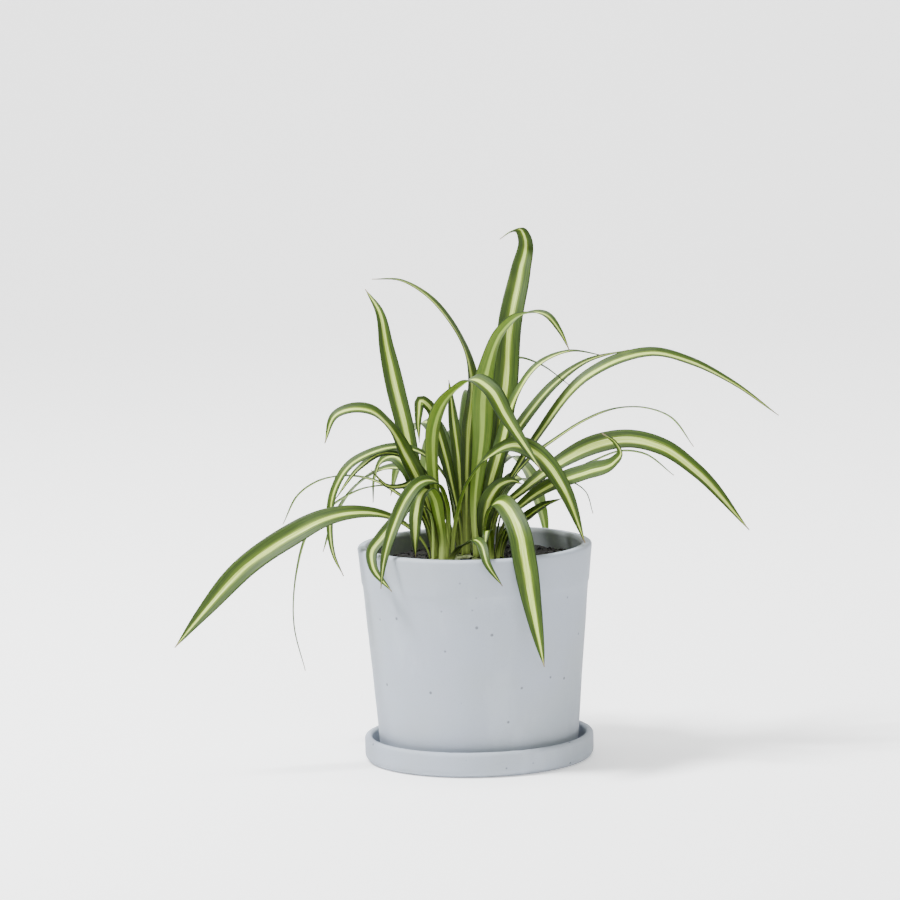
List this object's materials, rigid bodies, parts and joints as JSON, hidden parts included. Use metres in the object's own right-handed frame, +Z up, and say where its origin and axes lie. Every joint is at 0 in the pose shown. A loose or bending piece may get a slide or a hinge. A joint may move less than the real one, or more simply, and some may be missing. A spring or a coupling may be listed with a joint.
{
  "type": "potted spider plant",
  "caption": "Spider plant with arching green leaves striped pale down the middle, growing from soil in a round matte pot that stands in a shallow saucer.",
  "frame": {"origin": "centre of the saucer's flat underside, on the pot's axis", "axes": "+Z up along the pot's axis, -Y to the front of the plant, +X to its right"},
  "size_m": [0.3894, 0.2163, 0.3375],
  "materials": {
    "saucer": "matte pale blue-grey cement look with small pinholes",
    "pot": "matte pale blue-grey cement look with small dark specks",
    "soil": "dark crumbly potting soil",
    "crown": "pale whitish-green leaf bases",
    "leaf": "satin green leaf with a cream-green stripe down the middle"
  },
  "bodies": {
    "root": {"saucer": "saucer", "pot": "pot", "soil": "soil", "left_crown": "crown", "right_crown": "crown", "rear_crown": "crown", "left_leaf_01": "leaf", "left_leaf_02": "leaf", "left_leaf_03": "leaf", "left_leaf_04": "leaf", "left_leaf_05": "leaf", "left_leaf_06": "leaf", "left_leaf_07": "leaf", "left_leaf_08": "leaf", "left_leaf_09": "leaf", "left_leaf_10": "leaf", "left_leaf_11": "leaf", "left_leaf_12": "leaf", "right_leaf_01": "leaf", "right_leaf_02": "leaf", "right_leaf_03": "leaf", "right_leaf_04": "leaf", "right_leaf_05": "leaf", "right_leaf_06": "leaf", "right_leaf_07": "leaf", "right_leaf_08": "leaf", "right_leaf_09": "leaf", "right_leaf_10": "leaf", "right_leaf_11": "leaf", "right_leaf_12": "leaf", "right_leaf_13": "leaf", "right_leaf_14": "leaf", "right_leaf_15": "leaf", "rear_leaf_01": "leaf", "rear_leaf_02": "leaf", "rear_leaf_03": "leaf", "rear_leaf_04": "leaf", "rear_leaf_05": "leaf", "rear_leaf_06": "leaf", "rear_leaf_07": "leaf", "rear_leaf_08": "leaf", "rear_leaf_09": "leaf", "rear_leaf_10": "leaf", "rear_leaf_11": "leaf", "rear_leaf_12": "leaf", "rear_leaf_13": "leaf", "rear_leaf_14": "leaf"}
  },
  "joints": []
}
